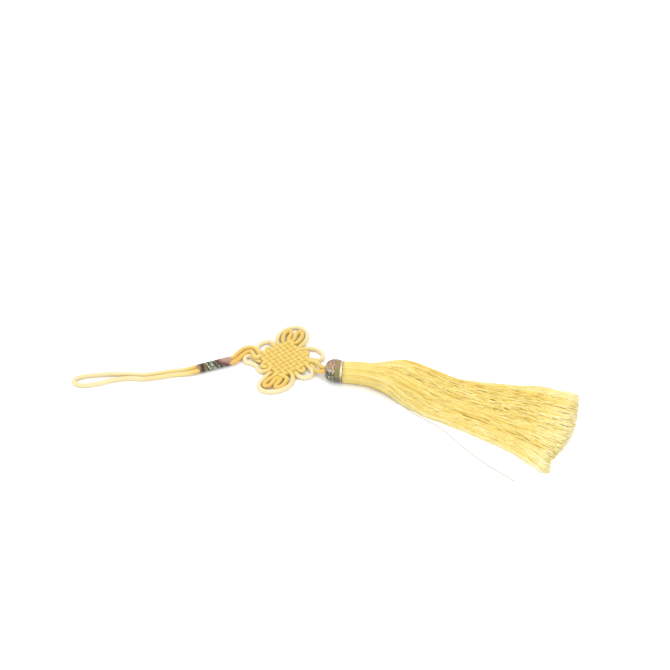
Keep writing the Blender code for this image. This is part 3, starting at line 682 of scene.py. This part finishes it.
# The tassel
# Over two thousand fine rayon threads, tied in under the ball. They run smooth and close through the
# neck, then fan out into a long skirt of loose wavy locks that settle flat on the table.
TASSEL_LINE = (
    (30.2, -12.7), (38.0, -13.7), (45.0, -15.5), (55.0, -20.0), (75.0, -28.6), (100.0, -39.0),
    (125.0, -49.5), (145.0, -57.9),
)
TASSEL_SECTIONS = (
    {"station": 0.0, "far": 5.1, "near": 5.1, "height": 10.8, "power": 2.0},
    {"station": 3.5, "far": 5.4, "near": 5.4, "height": 11.0, "power": 2.0},
    {"station": 14.5, "far": 5.9, "near": 5.8, "height": 11.7, "power": 2.0},
    {"station": 21.5, "far": 11.2, "near": 6.7, "height": 13.2, "power": 2.1},
    {"station": 28.5, "far": 15.7, "near": 8.3, "height": 13.8, "power": 2.2},
    {"station": 35.5, "far": 18.6, "near": 9.9, "height": 12.0, "power": 2.4},
    {"station": 46.5, "far": 20.0, "near": 12.0, "height": 8.6, "power": 2.7},
    {"station": 56.5, "far": 19.9, "near": 13.0, "height": 6.5, "power": 3.0},
    {"station": 69.5, "far": 23.0, "near": 14.8, "height": 5.4, "power": 3.2},
    {"station": 81.5, "far": 27.0, "near": 16.6, "height": 4.9, "power": 3.4},
    {"station": 97.5, "far": 31.6, "near": 20.0, "height": 4.3, "power": 3.6},
    {"station": 113.5, "far": 34.2, "near": 27.0, "height": 3.9, "power": 3.8},
    {"station": 123.5, "far": 35.4, "near": 31.0, "height": 3.7, "power": 3.8},
)
SKIRT_END = (
    (-1.0, 114.4), (-0.85, 118.9), (-0.6, 117.2), (-0.3, 119.9), (0.1, 121.9), (0.5, 120.4), (1.0, 116.4),
)
THREAD = 0.38
THREAD_POINTS = 44
THREAD_SIDES = 3
THREAD_PIECES = 4
LOCKS = 130
LOCK_REACH = 0.95
SIDE_SPREAD = 0.013
END_SPREAD = (1.3, 2.0)
END_SETBACK = 1.2
NECK_THREADS = 700
NECK_START = -0.6
NECK_SHELL = 0.12
INNER_THREADS = 1500
INNER_START = (13.0, 19.0)
INNER_SIDE = 0.8
INNER_DEPTH = (0.02, 0.98)
FAN = (12.0, 46.0)
SKIRT_START = (24.0, 42.0)
SETTLED = (88.0, 118.0)
SETTLED_SHARE = 0.7
EDGE_SIDE = 0.97
EDGE_THICKNESS = 0.28
EDGE_SLOPE = 0.36
WAVE_STATIONS = np.linspace(0, 130, 261)
LOCK_SWAY = {"lengths": (31.0, 17.0), "size": 0.45}
LOCK_LIFT = {"lengths": (27.0, 14.0), "size": 0.16}
THREAD_SWAY = {"lengths": (18.0, 11.0), "size": 0.25}
THREAD_LIFT = {"lengths": (14.0,), "size": 0.08}
SKIRT_TONE = 0.03
NECK_TONE = 0.06
PALE_TIPS = {"stations": (96.0, 123.0), "rise": 0.55}
PALE_EDGES = {"from": 0.7, "width": 0.3, "rise": 0.35}
RAYON_COLOURS = (
    (0.0, (0.68, 0.45, 0.07)), (0.3, (0.84, 0.635, 0.15)), (0.6, (0.90, 0.76, 0.31)),
    (0.85, (0.96, 0.86, 0.52)), (1.0, (0.97, 0.91, 0.66)),
)
dice = np.random.default_rng(7)
tassel_line = smooth_route(TASSEL_LINE, 1.0)
line_run = run_along(tassel_line[None])[0]
line_heading = unit(np.gradient(tassel_line, axis=0))


def section(station, name):
    """One size of the tassel's section at each station, between the rows of the table."""
    stations = [row["station"] for row in TASSEL_SECTIONS]
    return np.interp(station, stations, [row[name] for row in TASSEL_SECTIONS])


def eased(station, start, end):
    """Goes from 0 at start to 1 at end as 3t^2 - 2t^3."""
    t = np.clip((station - start) / (end - start), 0.0, 1.0)
    return t * t * (3.0 - 2.0 * t)


def tassel_place(station, side, depth):
    """The place at a station, a side from -1 to 1 and a depth from 0 at the bottom to 1 at the top.

    The section bulges as (1 - |side|^power)^(1/power), both ways in the neck and upwards alone in the skirt.
    """
    power, full = section(station, "power"), section(station, "height")
    bulge = (1.0 - np.clip(np.abs(side), 0.0, 1.0) ** power) ** (1.0 / power)
    opened = eased(station, *SKIRT_START)
    edge = np.clip(EDGE_THICKNESS + (EDGE_SIDE - np.abs(side)) / EDGE_SLOPE, EDGE_THICKNESS, 1.0)
    top = full * (0.5 + 0.5 * bulge) * (1.0 - opened * (1.0 - edge))
    bottom = full * (0.5 - 0.5 * bulge) * (1.0 - opened)
    offset = side * np.where(side > 0, section(station, "far"), section(station, "near"))
    height = bottom + depth * (top - bottom)
    x, y = (np.interp(station, line_run, tassel_line[:, k]) for k in (0, 1))
    heading_x, heading_y = (np.interp(station, line_run, line_heading[:, k]) for k in (0, 1))
    return np.stack([x - heading_y * offset, y + heading_x * offset, np.maximum(height, THREAD / 2)], axis=-1)


def waves(station, count, wave, draw):
    """For each of count threads, a sum of sines along the station with random lengths and phases."""
    total = 0.0
    for length in wave["lengths"]:
        phase = draw.uniform(0.0, 2 * np.pi, (count, 1))
        stretch = draw.uniform(0.8, 1.25, (count, 1))
        total = total + np.sin(2 * np.pi * station / (length * stretch) + phase)
    return total / len(wave["lengths"]) ** 0.5 * wave["size"]


def tassel_threads(count, first_station, neck_side, depth, neck):
    """Paths of threads from the neck to the skirt's end, gathered into locks that wave together.

    Each thread's side runs from its place in the neck to its lock's in the skirt as the tassel fans out.
    """
    lock = dice.integers(0, LOCKS, count)
    if neck:
        lock = np.clip(((neck_side + 1) / 2 * LOCKS + dice.normal(0, 1.0, count)).astype(int), 0, LOCKS - 1)
    lock_side = ((np.arange(LOCKS) + 0.5) / LOCKS * 2 - 1) * LOCK_REACH
    skirt_side = np.clip(lock_side[lock] + dice.normal(0.0, SIDE_SPREAD, count), -1, 1)
    ends = np.interp(skirt_side, *np.array(SKIRT_END).T) - dice.gamma(*END_SPREAD, count)
    ends = ends - END_SETBACK * depth
    share = np.linspace(0.0, 1.0, THREAD_POINTS)[None]
    station = first_station[:, None] + (ends - first_station)[:, None] * share
    fanned = eased(station, *FAN)
    lock_dice = np.random.default_rng(3)
    lock_sway = waves(WAVE_STATIONS[None], LOCKS, LOCK_SWAY, lock_dice)
    lock_lift = waves(WAVE_STATIONS[None], LOCKS, LOCK_LIFT, lock_dice)
    at = np.clip((station / WAVE_STATIONS[1]).astype(int), 0, len(WAVE_STATIONS) - 1)
    sway = lock_sway[lock[:, None], at] + waves(station, count, THREAD_SWAY, dice)
    lift = lock_lift[lock[:, None], at] + waves(station, count, THREAD_LIFT, dice)
    reach = (section(station, "far") + section(station, "near")) / 2
    side = neck_side[:, None] * (1 - fanned) + skirt_side[:, None] * fanned + sway * fanned / reach
    path = tassel_place(station, np.clip(side, -1.0, 1.0), depth[:, None])
    lift = lift * fanned * (1 - SETTLED_SHARE * eased(station, *SETTLED))
    path[..., 2] = np.maximum(path[..., 2] + lift, THREAD / 2)
    tone = 0.5 * dice.uniform(0, 1, count) + 0.5 * np.random.default_rng(5).uniform(0, 1, LOCKS)[lock]
    at_edge = np.clip((np.abs(skirt_side) - PALE_EDGES["from"]) / PALE_EDGES["width"], 0, 1)[:, None]
    pale = SKIRT_TONE + PALE_TIPS["rise"] * eased(station, *PALE_TIPS["stations"])
    pale = pale + PALE_EDGES["rise"] * at_edge * fanned + NECK_TONE * (1 - fanned)
    return path, tone[:, None] + pale


def rayon_thread():
    """Rayon floss: a glossy filament yarn, its yellow deeper or paler by the thread and along each."""
    material, nodes = new_material("golden rayon thread")
    tone = nodes.add("Attribute", {"attribute_name": "tone"}, {}, 2)
    drift = nodes.add("TexNoise", {}, {"Vector": nodes.add("TexCoord", {}, {}, 3), "Scale": 160.0})
    colour = nodes.add("ValToRGB", {"stops": RAYON_COLOURS}, {"Fac": tone * 0.62 + (drift - 0.5) * 0.35})
    nodes.surface({"Base Color": colour, "Roughness": 0.4, "Sheen Weight": 0.15})
    return material


angle = dice.uniform(0.0, 2 * np.pi, NECK_THREADS)
depth_in = 1.0 - NECK_SHELL * dice.uniform(0, 1, NECK_THREADS) ** 1.5
neck_side = np.cos(angle) * depth_in
bulge = np.sqrt(1.0 - np.clip(neck_side, -1, 1) ** 2)
neck_depth = 0.5 + 0.5 * np.sin(angle) * depth_in / np.maximum(bulge, 1e-3)
surface_threads = tassel_threads(NECK_THREADS, np.full(NECK_THREADS, NECK_START), neck_side,
                                 np.clip(neck_depth, 0, 1), True)
inner_start = dice.uniform(*INNER_START, INNER_THREADS)
inner_side = dice.uniform(-INNER_SIDE, INNER_SIDE, INNER_THREADS)
inner_depth = dice.uniform(*INNER_DEPTH, INNER_THREADS)
inner_threads = tassel_threads(INNER_THREADS, inner_start, inner_side, inner_depth, False)
floss = rayon_thread()
paths = np.concatenate([surface_threads[0], inner_threads[0]]) * MM + KNOT_CENTRE
tones = np.concatenate([surface_threads[1], inner_threads[1]])
order = dice.permutation(len(paths))
for number, chosen in enumerate(np.array_split(order, THREAD_PIECES), 1):
    rings = swept_rings(paths[chosen], UP, THREAD / 2 * MM, THREAD / 2 * MM, THREAD_SIDES)
    threads = skinned(f"tassel_threads_{number}", rings, paths[chosen], floss, tones[chosen])
    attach(threads, "root")
    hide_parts("tassel")


# The stray thread
# One paler rayon thread, thicker than the others, has slipped out of the skirt's near edge. It lies by
# itself on the table in a loose curve.
STRAY_THREAD = 0.0005
STRAY_STEP = 0.001
STRAY_SIDES = 6
STRAY_ROUTE = (
    (56.8, -26.5, 1.2), (60.8, -32.9, 0.5), (66.4, -38.6, 0.30), (73.0, -43.4, 0.27), (78.9, -48.1, 0.27),
    (86.0, -57.0, 0.27), (93.8, -66.8, 0.27), (101.8, -74.6, 0.27), (112.6, -83.9, 0.27),
)
pale, nodes = new_material("pale rayon thread")
drift = nodes.add("TexNoise", {}, {"Vector": nodes.add("TexCoord", {}, {}, 3), "Scale": 200.0})
nodes.surface({"Base Color": drift.mixed((0.42, 0.40, 0.30, 1), (0.60, 0.58, 0.45, 1)), "Roughness": 0.45,
               "Sheen Weight": 0.2})
path = smooth_route(np.array(STRAY_ROUTE) * MM, STRAY_STEP)[None] + KNOT_CENTRE
rings = swept_rings(path, UP, STRAY_THREAD / 2, STRAY_THREAD / 2, STRAY_SIDES)
stray = skinned("stray_thread", rings, path, pale)
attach(stray, "root")
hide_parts("tassel")
